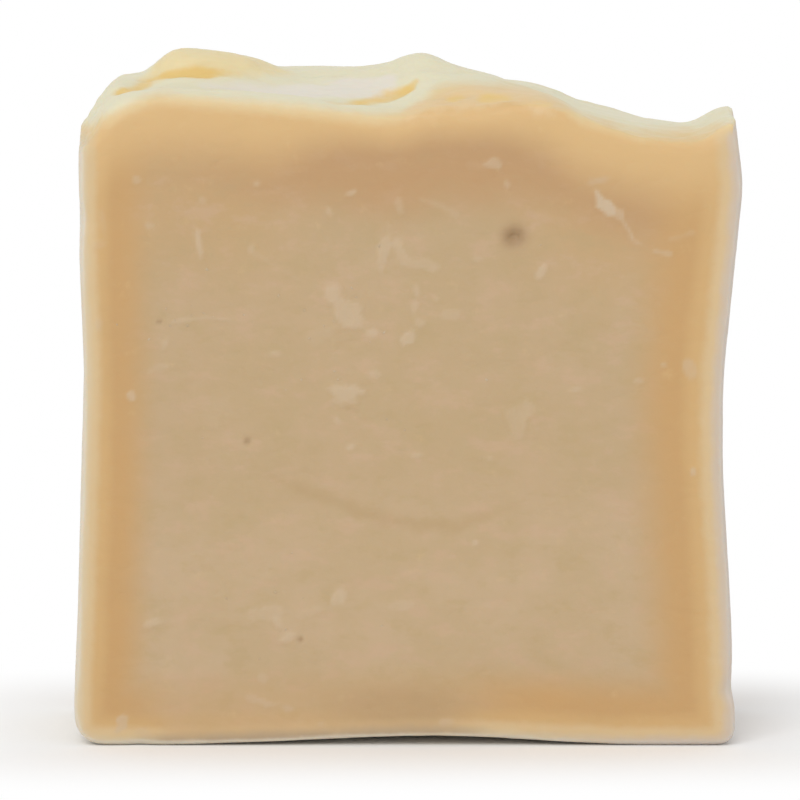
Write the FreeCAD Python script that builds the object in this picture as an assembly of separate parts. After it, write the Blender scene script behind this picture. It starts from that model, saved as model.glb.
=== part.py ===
"""A bar of handmade soap: one slice of a poured loaf, standing on the edge that lay on the mould's floor.

The bar is one solid. X runs across the bar, Y through its thickness and Z up. The origin is at the middle of
the foot, on the surface that the bar stands on. The broad faces at -Y and +Y were cut flat from the loaf. The
left, right and lower sides were moulded. The upper side was open in the mould, and spooning left folds and
peaks in it. All lengths are in millimetres.
"""
import FreeCAD, Part
import math
import os
from collections import namedtuple

from FreeCAD import Vector

# The slice as poured and cut. The shoulder is where the right side meets the open top.
BAR_WIDTH = 77.4
BAR_THICKNESS = 25.0
SHOULDER_HEIGHT = 71.0

# Rounding of the moulded edges round the two cut faces
CUT_EDGE_RADIUS = 1.3

# The moulded outline, from the top of the left side down, round the foot and up the right side. The sides
# shrank to a waist as the soap dried, and the foot to a hollow between two flat stretches. A bend gives how
# far in from the full width it lies, or how far across the foot from its middle, how high it lies, and the
# radius that the outline turns with there.
SideBend = namedtuple("SideBend", "inset height_share radius")
FootBend = namedtuple("FootBend", "across_share rise radius")
LEFT_SIDE = (
    SideBend(0.90, 0.80, 90.0),
    SideBend(1.35, 0.62, 70.0),
    SideBend(0.45, 0.215, 30.0),
    SideBend(0.00, 0.08, 12.0),
)
LEFT_CORNER_RADIUS = 3.3
FOOT = (
    FootBend(-0.66, 0.0, 60.0),
    FootBend(0.10, 1.1, 160.0),
    FootBend(0.64, 0.0, 60.0),
)
RIGHT_CORNER_RADIUS = 1.9
RIGHT_SIDE = (
    SideBend(0.50, 0.060, 5.0),
    SideBend(0.95, 0.095, 6.0),
    SideBend(0.85, 0.17, 60.0),
    SideBend(2.10, 0.46, 60.0),
    SideBend(2.15, 0.60, 60.0),
    SideBend(-0.08, 0.92, 14.0),
    SideBend(0.65, 1.01, 20.0),
)

# The folds of the open top. Each is a mound along a crest line. A crest stop gives a share of half the width,
# a share of half the thickness, and a height above the shoulder. From its crest a fold falls away as a round
# of near_radius towards -Y, of far_radius towards +Y and of end_radius past its two ends. Where two folds
# meet, a crease is left.
CrestStop = namedtuple("CrestStop", "across deep height")
Fold = namedtuple("Fold", "near_radius far_radius end_radius crest")
FOLDS = {
    "front_lip": Fold(
        4.5,
        7.0,
        6.0,
        (
            CrestStop(-0.93, -0.76, 3.4),
            CrestStop(-0.86, -0.76, 4.5),
            CrestStop(-0.74, -0.75, 5.5),
            CrestStop(-0.60, -0.76, 5.4),
            CrestStop(-0.42, -0.77, 4.8),
            CrestStop(-0.26, -0.79, 3.9),
            CrestStop(-0.17, -0.82, 2.4),
        ),
    ),
    "left_knob": Fold(
        4.5,
        7.0,
        6.0,
        (
            CrestStop(-0.92, -0.28, 5.4),
            CrestStop(-0.87, -0.30, 6.0),
            CrestStop(-0.80, -0.20, 5.4),
        ),
    ),
    "left_ridge": Fold(
        4.5,
        8.0,
        6.0,
        (
            CrestStop(-0.79, 0.12, 6.2),
            CrestStop(-0.74, 0.08, 8.1),
            CrestStop(-0.68, 0.04, 9.1),
            CrestStop(-0.60, 0.05, 9.0),
            CrestStop(-0.48, 0.12, 8.1),
            CrestStop(-0.39, 0.22, 6.7),
            CrestStop(-0.30, 0.38, 5.4),
        ),
    ),
    "back_sheet": Fold(
        40.0,
        20.0,
        8.0,
        (
            CrestStop(-0.92, 0.70, 2.8),
            CrestStop(-0.72, 0.68, 4.9),
            CrestStop(-0.45, 0.62, 5.6),
            CrestStop(-0.25, 0.58, 6.2),
            CrestStop(-0.06, 0.58, 6.0),
            CrestStop(0.15, 0.62, 5.2),
            CrestStop(0.35, 0.66, 4.2),
            CrestStop(0.55, 0.70, 1.3),
        ),
    ),
    "middle_peak": Fold(
        4.5,
        7.0,
        6.0,
        (
            CrestStop(-0.09, 0.20, 6.2),
            CrestStop(-0.03, 0.10, 7.8),
            CrestStop(0.04, 0.04, 8.5),
            CrestStop(0.10, 0.00, 8.0),
            CrestStop(0.17, -0.08, 6.2),
        ),
    ),
    "lower_lip": Fold(
        4.5,
        7.0,
        6.0,
        (
            CrestStop(-0.16, -0.84, 1.6),
            CrestStop(-0.06, -0.80, 1.7),
            CrestStop(0.05, -0.74, 2.2),
        ),
    ),
    "middle_shelf": Fold(
        14.0,
        25.0,
        6.0,
        (
            CrestStop(0.12, -0.32, 5.6),
            CrestStop(0.20, -0.32, 5.7),
            CrestStop(0.28, -0.42, 5.1),
            CrestStop(0.35, -0.55, 4.4),
            CrestStop(0.43, -0.70, 3.7),
            CrestStop(0.50, -0.75, 2.4),
            CrestStop(0.58, -0.75, 1.1),
        ),
    ),
    "right_sheet": Fold(
        140.0,
        60.0,
        12.0,
        (
            CrestStop(0.40, 0.00, 3.7),
            CrestStop(0.50, 0.05, 2.5),
            CrestStop(0.58, 0.05, 1.3),
            CrestStop(0.66, 0.05, 0.7),
            CrestStop(0.73, 0.00, 0.6),
            CrestStop(0.86, 0.00, 0.4),
            CrestStop(0.97, 0.00, 0.5),
        ),
    ),
}

# How softly one fold runs into the next
CREASE_SOFTNESS = 1.2

# The open top rolls down to the two mould walls
WallRoll = namedtuple("WallRoll", "width drop")
LEFT_ROLL = WallRoll(5.0, 4.0)
RIGHT_ROLL = WallRoll(1.4, 0.3)

# The poured soap climbed the right mould wall in an ear. Its foot and its crest are measured in from the wall.
EAR_FOOT = 4.4
EAR_CREST = 0.9
EAR_RISE = 2.0

# Spacing of the points that the open top is drawn through, and how far it is drawn past the bar
TOP_POINT_SPACING = 2.6
TOP_MARGIN = 2.0

# The air bubble that the front cut opened: its middle, measured from the middle of the foot, the radius of
# its mouth and its depth
BUBBLE_ACROSS = 12.5
BUBBLE_UP = 59.5
BUBBLE_MOUTH_RADIUS = 1.25
BUBBLE_DEPTH = 0.9

HALF_WIDTH = BAR_WIDTH / 2
HALF_THICKNESS = BAR_THICKNESS / 2
HIGHEST_CREST = max(stop.height for fold in FOLDS.values() for stop in fold.crest)
BLANK_HEIGHT = SHOULDER_HEIGHT + HIGHEST_CREST + TOP_MARGIN
FLAT_TOLERANCE = 0.01


def outline_bends():
    """Returns the bends of the open outline as (point, radius), from its upper left end to its upper right."""
    bends = [(Vector(LEFT_SIDE[0].inset - HALF_WIDTH, 0, BLANK_HEIGHT), 0.0)]
    for bend in LEFT_SIDE:
        bends.append((Vector(bend.inset - HALF_WIDTH, 0, bend.height_share * SHOULDER_HEIGHT), bend.radius))
    bends.append((Vector(LEFT_SIDE[-1].inset - HALF_WIDTH, 0, 0), LEFT_CORNER_RADIUS))
    for bend in FOOT:
        bends.append((Vector(bend.across_share * HALF_WIDTH, 0, bend.rise), bend.radius))
    bends.append((Vector(HALF_WIDTH - RIGHT_SIDE[0].inset, 0, 0), RIGHT_CORNER_RADIUS))
    for bend in RIGHT_SIDE:
        bends.append((Vector(HALF_WIDTH - bend.inset, 0, bend.height_share * SHOULDER_HEIGHT), bend.radius))
    bends.append((Vector(HALF_WIDTH - RIGHT_SIDE[-1].inset, 0, BLANK_HEIGHT), 0.0))
    return bends


def bend_arc(before, bend, after, radius):
    """Returns the arc that rounds one bend and runs smoothly into the straight runs on both sides of it."""
    inward = (before - bend).normalize()
    outward = (after - bend).normalize()
    half_angle = inward.getAngle(outward) / 2
    tangent = radius / math.tan(half_angle)
    centre_way = (inward + outward).normalize()
    centre = bend + centre_way * (radius / math.sin(half_angle))
    return Part.Arc(bend + inward * tangent, centre - centre_way * radius, bend + outward * tangent)


def outline_edges():
    """Returns the edges of the open outline, straight runs joined by tangent arcs, at Y 0."""
    bends = outline_bends()
    curves = []
    start = bends[0][0]
    for i in range(1, len(bends) - 1):
        arc = bend_arc(bends[i - 1][0], bends[i][0], bends[i + 1][0], bends[i][1])
        curves.append(Part.LineSegment(start, arc.StartPoint))
        curves.append(arc)
        start = arc.EndPoint
    curves.append(Part.LineSegment(start, bends[-1][0]))
    return [curve.toShape() for curve in curves]


def lies_on_cut_face(edge):
    """Tells whether an edge lies in the plane of one of the cut faces."""
    box = edge.BoundBox
    return box.YLength < FLAT_TOLERANCE and abs(abs(box.YMax) - HALF_THICKNESS) < FLAT_TOLERANCE


def blank():
    """Returns the slice with its moulded sides and rounded edges, and its top still square and too high."""
    bends = outline_bends()
    edges = outline_edges()
    edges.append(Part.LineSegment(bends[-1][0], bends[0][0]).toShape())
    wire = Part.Wire(edges)
    solid = Part.Face(wire).extrude(Vector(0, BAR_THICKNESS, 0))
    solid.translate(Vector(0, -HALF_THICKNESS, 0))
    rounded = [
        edge
        for edge in solid.Edges
        if lies_on_cut_face(edge) and edge.BoundBox.ZMin < SHOULDER_HEIGHT
    ]
    return solid.makeFillet(CUT_EDGE_RADIUS, rounded)


def smooth_at(stops, place):
    """Returns the height at a place on a smooth line through (place, height) stops, level past its ends."""
    if place <= stops[0][0]:
        return stops[0][1]
    if place >= stops[-1][0]:
        return stops[-1][1]
    slopes = []
    for i in range(len(stops)):
        before = stops[max(i - 1, 0)]
        after = stops[min(i + 1, len(stops) - 1)]
        slopes.append((after[1] - before[1]) / (after[0] - before[0]))
    i = max(k for k in range(len(stops) - 1) if stops[k][0] <= place)
    span = stops[i + 1][0] - stops[i][0]
    t = (place - stops[i][0]) / span
    return (
        stops[i][1] * (1 + 2 * t) * (1 - t) ** 2
        + slopes[i] * span * t * (1 - t) ** 2
        + stops[i + 1][1] * t ** 2 * (3 - 2 * t)
        + slopes[i + 1] * span * t ** 2 * (t - 1)
    )


def fold_height(fold, x, y):
    """Returns how high one fold stands above the shoulder at a place on the top."""
    first = fold.crest[0].across * HALF_WIDTH
    last = fold.crest[-1].across * HALF_WIDTH
    crest_x = min(max(x, first), last)
    crest_y = smooth_at([(s.across * HALF_WIDTH, s.deep * HALF_THICKNESS) for s in fold.crest], crest_x)
    crest_height = smooth_at([(s.across * HALF_WIDTH, s.height) for s in fold.crest], crest_x)
    side_radius = fold.near_radius if y < crest_y else fold.far_radius
    fall = (y - crest_y) ** 2 / (2 * side_radius) + (x - crest_x) ** 2 / (2 * fold.end_radius)
    return crest_height - fall


def roll_drop(roll, distance_to_wall):
    """Returns how far the top has rolled down at a distance from the wall that it rolls towards."""
    share = max(0.0, 1 - distance_to_wall / roll.width)
    return roll.drop * share ** 2


def ear_rise(x):
    """Returns how far the ear stands up at a place across the bar."""
    wall = HALF_WIDTH - RIGHT_SIDE[-1].inset
    climb = min(max((x - wall + EAR_FOOT) / (EAR_FOOT - EAR_CREST), 0.0), 1.0)
    return EAR_RISE * climb ** 2 * (3 - 2 * climb)


def top_height(x, y):
    """Returns the height of the open top at a place."""
    heights = [fold_height(fold, x, y) for fold in FOLDS.values()]
    highest = max(heights)
    crowd = sum(math.exp((height - highest) / CREASE_SOFTNESS) for height in heights)
    height = SHOULDER_HEIGHT + highest + CREASE_SOFTNESS * math.log(crowd) + ear_rise(x)
    height -= roll_drop(LEFT_ROLL, HALF_WIDTH - LEFT_SIDE[0].inset + x)
    height -= roll_drop(RIGHT_ROLL, HALF_WIDTH - RIGHT_SIDE[-1].inset - x)
    return height


def air_above():
    """Returns the space above the open top, as a solid to cut from the blank."""
    reach_x = HALF_WIDTH + TOP_MARGIN
    reach_y = HALF_THICKNESS + TOP_MARGIN
    spans_x = math.ceil(2 * reach_x / TOP_POINT_SPACING)
    spans_y = math.ceil(2 * reach_y / TOP_POINT_SPACING)
    step_x = 2 * reach_x / spans_x
    step_y = 2 * reach_y / spans_y
    heights = [
        [top_height(-reach_x + i * step_x, -reach_y + j * step_y) for j in range(spans_y + 1)]
        for i in range(spans_x + 1)
    ]
    surface = Part.BSplineSurface()
    surface.interpolate(heights, -reach_x, step_x, -reach_y, step_y)
    return surface.toShape().extrude(Vector(0, 0, BLANK_HEIGHT))


def bubble_hollow():
    """Returns the ball that hollows out the opened bubble."""
    radius = (BUBBLE_MOUTH_RADIUS ** 2 + BUBBLE_DEPTH ** 2) / (2 * BUBBLE_DEPTH)
    middle_y = BUBBLE_DEPTH - radius - HALF_THICKNESS
    return Part.makeSphere(radius, Vector(BUBBLE_ACROSS, middle_y, BUBBLE_UP))


def soap_bar():
    """Returns the whole bar."""
    bar = blank().cut(air_above()).cut(bubble_hollow())
    return bar.Solids[0]


def main():
    """Builds the bar and writes its STEP file."""
    os.makedirs("parts", exist_ok=True)
    bar = soap_bar()
    box = bar.optimalBoundingBox()
    print("valid", bar.isValid(), "volume", round(bar.Volume), "mm3")
    print("size", round(box.XLength, 2), round(box.YLength, 2), round(box.ZLength, 2))
    print("from", round(box.XMin, 3), round(box.YMin, 3), round(box.ZMin, 3))
    bar.exportStep("parts/soap_bar.step")


main()
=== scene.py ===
"""A bar of handmade soap, dressed for pictures.

The bar is a slice of a poured loaf. Its two broad faces were cut, its sides and foot were moulded, and its top
was open in the mould and worked with a spoon. A fine skin stands for the solid, with the smears, pits and
crumbs that the cut left. Places on the bar are in millimetres, from the middle of its foot: across to the
right, through towards the back, and up. Blender's own lengths are in metres.
"""
import itertools
import logging
import math
from dataclasses import dataclass
from enum import Enum

import bmesh
import bpy
import numpy as np
from bpy.types import Material, Mesh, NodeSocket, NodeTree, Object, World
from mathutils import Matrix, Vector


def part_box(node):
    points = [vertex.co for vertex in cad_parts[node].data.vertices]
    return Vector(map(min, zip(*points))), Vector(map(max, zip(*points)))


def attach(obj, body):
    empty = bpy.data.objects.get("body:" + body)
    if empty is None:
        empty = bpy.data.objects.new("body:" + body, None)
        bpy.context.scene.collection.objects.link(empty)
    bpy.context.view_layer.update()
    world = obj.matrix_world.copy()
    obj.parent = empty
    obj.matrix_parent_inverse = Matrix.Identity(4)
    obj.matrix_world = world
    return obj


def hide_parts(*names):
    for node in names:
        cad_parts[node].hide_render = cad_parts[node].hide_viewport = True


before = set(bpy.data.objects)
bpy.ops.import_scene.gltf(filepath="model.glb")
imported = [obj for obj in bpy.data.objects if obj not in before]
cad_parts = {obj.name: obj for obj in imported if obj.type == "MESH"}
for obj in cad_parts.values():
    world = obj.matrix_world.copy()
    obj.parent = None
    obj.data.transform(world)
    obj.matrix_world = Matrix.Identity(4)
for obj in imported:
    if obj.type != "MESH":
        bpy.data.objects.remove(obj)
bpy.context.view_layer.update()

MM = 0.001
NODE = "soap_bar"
BODY = "root"
log = logging.getLogger("soap")


class CutFace(Enum):
    """The two faces that the cutter left, by the way that they look along Y."""

    FRONT = -1.0
    BACK = 1.0


def srgb(red: int, green: int, blue: int) -> tuple:
    """Turns a colour as seen, 0 to 255, into the linear colour that a shader takes.

    Args:
        red: Red, 0 to 255.
        green: Green, 0 to 255.
        blue: Blue, 0 to 255.

    Returns:
        Linear red, green, blue and a full alpha.
    """
    parts = []
    for part in (red, green, blue):
        share = part / 255
        parts.append(share / 12.92 if share <= 0.04045 else ((share + 0.055) / 1.055) ** 2.4)
    return (*parts, 1.0)


def eased(values: np.ndarray, start: float, end: float) -> np.ndarray:
    """Eases values from 0 at start to 1 at end, level past both.

    Args:
        values: The values to ease.
        start: Where the result is 0.
        end: Where the result is 1. It may be the lower one.

    Returns:
        Values from 0 to 1.
    """
    share = np.clip((values - start) / (end - start), 0.0, 1.0)
    return share * share * (3 - 2 * share)


def near_route(points: np.ndarray, route: tuple, *values: tuple) -> tuple:
    """Measures how far points lie from a route of straight runs.

    Args:
        points: Places, one a row.
        route: The route's corners, in as many dimensions as the points.
        values: Numbers given at each corner, to be read off where each point is nearest.

    Returns:
        The gap to the route, and one array for each of the values.
    """
    gap = np.full(len(points), np.inf)
    found = [np.zeros(len(points)) for _ in values]
    for k in range(len(route) - 1):
        start = np.array(route[k])
        run = np.array(route[k + 1]) - start
        share = np.clip(((points - start) @ run) / (run @ run), 0.0, 1.0)
        reach = np.linalg.norm(points - start - share[:, None] * run, axis=1)
        closer = reach < gap
        gap = np.where(closer, reach, gap)
        for kept, value in zip(found, values):
            kept[closer] = (value[k] + share * (value[k + 1] - value[k]))[closer]
    return gap, found


class SoftNoise:
    """Random values that change softly through space, the same at every run."""

    CELLS = 32
    LAYERS = 3
    LAYER_SHIFT = 7.3

    def __init__(self, seed: int) -> None:
        """Draws the values.

        Args:
            seed: The seed of the random draw.
        """
        self.values = np.random.default_rng(seed).uniform(-1.0, 1.0, (self.CELLS,) * 3)

    def at(self, points: np.ndarray, size: float) -> np.ndarray:
        """Reads the noise.

        Args:
            points: Places, one a row.
            size: How far apart the random values lie, in the points' unit.

        Returns:
            One value from -1 to 1 for each place.
        """
        spot = points / size
        base = np.floor(spot).astype(int)
        part = spot - base
        part = part * part * (3 - 2 * part)
        total = np.zeros(len(points))
        for corner in itertools.product((0, 1), repeat=3):
            weight = np.ones(len(points))
            for axis, step in enumerate(corner):
                weight *= part[:, axis] if step else 1 - part[:, axis]
            cell = tuple((base + corner).T % self.CELLS)
            total += weight * self.values[cell]
        return total

    def layered(self, points: np.ndarray, size: float) -> np.ndarray:
        """Reads the noise with finer and fainter layers added.

        Args:
            points: Places, one a row.
            size: How far apart the random values of the coarsest layer lie.

        Returns:
            One value from about -1 to 1 for each place.
        """
        return sum(self.at(points + self.LAYER_SHIFT * k, size / 2**k) / 2**k for k in range(self.LAYERS))


@dataclass(frozen=True)
class Smear:
    """A raised, paler pat of soap that the cutter dragged and left."""

    RAGGED = 0.60
    SOFTNESS = 0.28
    across: float
    up: float
    half_width: float
    half_height: float
    turn: float
    paleness: float
    lift: float

    def cover(self, flat: np.ndarray, ragged: np.ndarray) -> np.ndarray:
        """Tells how much of the smear covers each place.

        Args:
            flat: Places across and up, one a row.
            ragged: Noise from -1 to 1 that breaks the smear's edge.

        Returns:
            Values from 0 to 1.
        """
        slant = math.radians(self.turn)
        x, z = (flat - (self.across, self.up)).T
        over = x * math.cos(slant) + z * math.sin(slant)
        along = z * math.cos(slant) - x * math.sin(slant)
        smaller = min(self.half_width, self.half_height)
        edge = (np.hypot(over / self.half_width, along / self.half_height) - 1) * smaller
        return eased(edge + self.RAGGED * min(1.0, smaller) * ragged, self.SOFTNESS, -self.SOFTNESS)


@dataclass(frozen=True)
class DragMark:
    """A line that something left on a cut face: raised where lift is above 0 and pressed in where below."""

    RAGGED = 0.6
    route: tuple
    half_widths: tuple
    paleness: float
    lift: float
    softness: float = 0.30

    def cover(self, flat: np.ndarray, ragged: np.ndarray) -> np.ndarray:
        """Tells how much of the line covers each place.

        Args:
            flat: Places across and up, one a row.
            ragged: Noise from -1 to 1 that breaks the line's edge.

        Returns:
            Values from 0 to 1.
        """
        gap, (half_width,) = near_route(flat, self.route, self.half_widths)
        return eased(gap - half_width + self.RAGGED * half_width * ragged, self.softness, -self.softness)


@dataclass(frozen=True)
class TopStreak:
    """A streak of other colour along the worked top, pressed in where groove is above 0."""

    RAGGED = 0.3
    FADE = (1.5, 0.2)
    zone: str
    route: tuple
    half_widths: tuple
    strengths: tuple
    groove: float = 0.0

    def cover(self, places: np.ndarray, ragged: np.ndarray) -> np.ndarray:
        """Tells how strong the streak is at each place.

        Args:
            places: Places in millimetres, one a row.
            ragged: Noise from -1 to 1 that breaks the streak's edge.

        Returns:
            Values from 0 to 1.
        """
        gap, (half_width, strength) = near_route(places, self.route, self.half_widths, self.strengths)
        return strength * eased(gap / half_width + self.RAGGED * ragged, *self.FADE)


@dataclass(frozen=True)
class Marks:
    """Everything that the cutter left on one cut face. A pit is across, up, radius and depth."""

    smears: tuple
    drags: tuple
    folds: tuple
    pits: tuple


def pats(*rows: tuple, shared: tuple = ()) -> tuple:
    """Makes smears.

    Args:
        rows: Across, up, half width, half height and turn of each, then its paleness and lift unless shared.
        shared: The paleness and the lift that all of them have.

    Returns:
        The smears.
    """
    return tuple(Smear(*row, *shared) for row in rows)


FRONT_MARKS = Marks(
    smears=pats(
        (-8.6, 52.6, 1.1, 1.45, 0, 0.55, 0.12), (-7.9, 51.9, 1.2, 0.85, -20, 0.52, 0.12),
        (-6.9, 51.1, 1.8, 1.05, 5, 0.5, 0.13), (-6.4, 49.9, 2.05, 1.2, -12, 0.56, 0.14),
        (-9.6, 48.5, 2.6, 1.1, 30, 0.3, 0.05), (-7.3, 41.6, 1.85, 0.85, -4, 0.62, 0.13),
        (-7.2, 40.6, 1.55, 0.8, 0, 0.45, 0.12), (13.2, 39.0, 1.6, 0.75, 12, 0.36, 0.09),
        (14.1, 39.9, 0.7, 0.6, 0, 0.4, 0.09), (12.7, 37.9, 0.95, 1.75, -8, 0.36, 0.08),
        (-2.6, 58.2, 0.9, 2.4, -10, 0.5, 0.08), (-0.9, 58.0, 0.9, 2.0, 20, 0.45, 0.07),
        (2.0, 56.2, 2.3, 0.7, -5, 0.4, 0.06), (9.6, 67.9, 1.2, 0.6, 15, 0.5, 0.1),
        (-14.9, 14.3, 0.6, 1.3, 20, 0.6, 0.09), (-13.8, 12.9, 1.0, 0.45, 20, 0.6, 0.09),
        (-16.0, 15.7, 1.8, 0.9, 10, 0.45, 0.04), (-8.0, 17.4, 1.4, 0.9, 35, 0.6, 0.09),
        (-11.0, 16.0, 2.2, 0.6, 15, 0.4, 0.04), (-0.6, 16.6, 1.5, 0.6, 0, 0.45, 0.05),
        (32.7, 44.1, 0.6, 1.3, 25, 0.5, 0.08), (-28.7, 44.6, 1.4, 0.7, 20, 0.4, 0.05),
        (-33.0, 3.1, 1.4, 0.9, 60, 0.6, 0.06), (-30.6, 1.6, 1.1, 0.6, -30, 0.35, 0.04),
        (-16.4, 5.2, 2.4, 0.7, -15, 0.45, 0.05), (-21.8, 39.2, 2.3, 1.6, 20, 0.22, 0.03),
        (-25.0, 11.0, 5.0, 3.2, 0, 0.22, 0.02), (24.0, 53.0, 4.2, 1.8, 30, 0.18, 0.03),
        (26.0, 49.8, 3.6, 2.4, -35, 0.2, 0.03), (-34.9, 61.5, 0.6, 2.2, 8, 0.32, 0.05),
        (-35.4, 58.6, 1.1, 0.5, 10, 0.32, 0.05),
    )
    + pats(
        (-3.9, 48.4, 0.95, 0.55, 0), (0.1, 47.9, 0.95, 0.7, 10), (7.9, 24.0, 0.6, 0.6, 0),
        (-6.3, 64.7, 0.9, 0.45, 25), (-23.9, 58.9, 0.38, 1.35, 8), (15.5, 55.6, 0.5, 0.95, -30),
        (-29.5, 14.5, 0.9, 0.4, 10), (33.1, 32.3, 0.45, 0.5, 0), (-31.8, 41.0, 0.6, 0.7, 0),
        (-6.5, 35.1, 0.6, 0.4, 10),
        shared=(0.62, 0.09),
    )
    + pats(
        (-3.4, 43.5, 0.75, 0.6, -10), (-8.9, 62.3, 0.6, 0.95, 15), (-0.8, 63.2, 0.5, 0.95, 10),
        (3.1, 56.0, 0.7, 0.45, 0), (1.1, 53.4, 0.5, 0.9, 20), (0.9, 51.4, 0.6, 0.8, -15), (1.5, 49.6, 0.7, 0.45, 0),
        (3.4, 52.4, 0.5, 0.45, 0), (4.8, 50.4, 0.9, 0.7, 0), (-17.9, 58.2, 0.45, 0.7, -25),
        (-17.2, 65.8, 0.5, 0.55, 0), (-30.8, 66.1, 0.6, 0.6, 0), (-29.4, 60.8, 0.6, 0.45, 0),
        (-23.4, 63.8, 0.45, 0.45, 0), (-28.0, 47.0, 0.5, 1.0, -20), (-35.6, 49.4, 0.55, 0.9, 0),
        (26.7, 42.7, 0.75, 0.45, 10), (19.6, 41.8, 0.9, 0.3, 5), (8.1, 57.0, 0.9, 0.45, -10),
        (9.7, 33.8, 0.45, 0.4, 0), (1.2, 34.1, 0.7, 0.35, 10), (-8.0, 38.3, 0.5, 0.6, 20),
        (-15.2, 46.0, 0.9, 0.35, 5), (-16.7, 8.1, 0.55, 0.6, 0), (-9.9, 2.6, 0.8, 0.5, 0), (4.5, 2.8, 0.8, 0.55, 0),
        (11.5, 65.6, 0.45, 0.55, 0), (21.9, 66.0, 1.2, 0.35, 15), (29.5, 44.7, 0.4, 0.4, 0),
        shared=(0.45, 0.07),
    ),
    drags=(
        DragMark(((21.8, 64.8), (22.6, 63.4), (23.4, 62.5)), (0.25, 0.75, 0.55), 0.85, 0.13),
        DragMark(((23.2, 62.6), (24.5, 62.2), (25.3, 60.7), (26.0, 59.3)), (0.55, 0.6, 0.4, 0.3), 0.55, 0.11),
        DragMark(((26.4, 59.0), (27.1, 58.6)), (0.3, 0.35), 0.55, 0.08),
        DragMark(((28.5, 57.8), (30.2, 57.6)), (0.3, 0.4), 0.5, 0.09),
        DragMark(((30.3, 59.3), (32.7, 60.0)), (0.5, 0.45), 0.32, 0.07),
        DragMark(((21.0, 66.2), (22.6, 66.0)), (0.35, 0.4), 0.3, 0.04),
        DragMark(((10.3, 69.2), (10.9, 71.0)), (0.4, 0.3), 0.18, 0.03, 0.5),
        DragMark(((1.6, 63.9), (3.6, 63.2), (5.6, 62.3)), (0.3, 0.45, 0.7), 0.36, 0.06, 0.45),
        DragMark(((-17.6, 57.8), (-15.2, 56.2), (-12.5, 54.6)), (0.35, 0.3, 0.15), 0.3, 0.04),
        DragMark(((-27.0, 49.7), (-23.0, 50.2), (-19.0, 49.8)), (0.3, 0.35, 0.2), 0.45, 0.05),
        DragMark(
            ((-30.0, 14.4), (-23.8, 15.2), (-15.8, 15.5), (-8.5, 16.4), (-0.8, 16.7), (13.6, 16.3)),
            (0.25, 0.3, 0.45, 0.5, 0.35, 0.2), 0.22, 0.03,
        ),
    ),
    folds=(
        DragMark(
            ((-16.0, 31.8), (-9.0, 29.0), (-4.5, 27.2), (0.0, 26.1), (6.1, 25.8), (12.7, 28.3)),
            (0.4, 0.8, 1.0, 1.1, 0.9, 0.4), 0.62, -0.03, 1.1,
        ),
        DragMark(((12.6, 44.3), (18.0, 47.0), (22.4, 49.5)), (0.3, 0.7, 0.3), 0.42, -0.03, 0.9),
        DragMark(((-6.9, 39.5), (-5.7, 39.2)), (0.7, 0.6), 0.45, -0.05),
        DragMark(((-6.0, 47.6), (-8.0, 47.0)), (0.6, 0.4), 0.35, -0.05),
    ),
    pits=((-18.4, 35.8, 0.45, 0.25), (-12.3, 12.6, 0.4, 0.12), (-28.5, 49.7, 0.35, 0.1)),
)
BACK_MARKS = Marks(
    smears=pats(
        (12.0, 55.0, 1.9, 1.2, 20, 0.8, 0.12), (-9.5, 60.5, 1.0, 2.2, -10, 0.6, 0.08),
        (-19.0, 30.0, 2.3, 1.2, 30, 0.7, 0.1), (22.0, 38.0, 1.3, 2.0, 0, 0.5, 0.07),
        (3.0, 22.0, 2.6, 0.9, -15, 0.5, 0.06), (-27.0, 52.0, 1.3, 0.8, 0, 0.6, 0.08),
        (28.0, 12.0, 1.5, 1.0, 25, 0.6, 0.08),
    )
    + pats(
        (0.0, 50.0, 0.9, 0.6, 20), (7.0, 47.0, 0.7, 0.5, 0), (-6.0, 33.0, 0.6, 0.8, 0), (17.0, 62.0, 0.8, 0.5, -20),
        (-25.0, 20.0, 0.6, 0.6, 0), (12.0, 30.0, 0.5, 0.7, 0), (30.0, 55.0, 0.6, 0.8, 0),
        (-12.0, 10.0, 0.8, 0.5, 0),
        shared=(0.6, 0.07),
    ),
    drags=(
        DragMark(((-30.0, 62.0), (-24.0, 60.5), (-17.0, 61.5), (-12.0, 60.0)), (0.35, 0.8, 0.5, 0.25), 0.7, 0.1),
        DragMark(((8.0, 14.0), (14.0, 12.5), (22.0, 13.5)), (0.3, 0.5, 0.3), 0.4, 0.05),
    ),
    folds=(
        DragMark(
            ((20.0, 48.0), (12.0, 42.5), (1.0, 40.0), (-9.0, 42.0), (-17.0, 47.5)), (0.5, 1.1, 1.3, 1.1, 0.5), 0.5,
            -0.04,
        ),
    ),
    pits=((-16.5, 43.0, 0.9, 0.5), (21.0, 22.5, 0.65, 0.35), (5.0, 64.0, 0.45, 0.2)),
)
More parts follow.
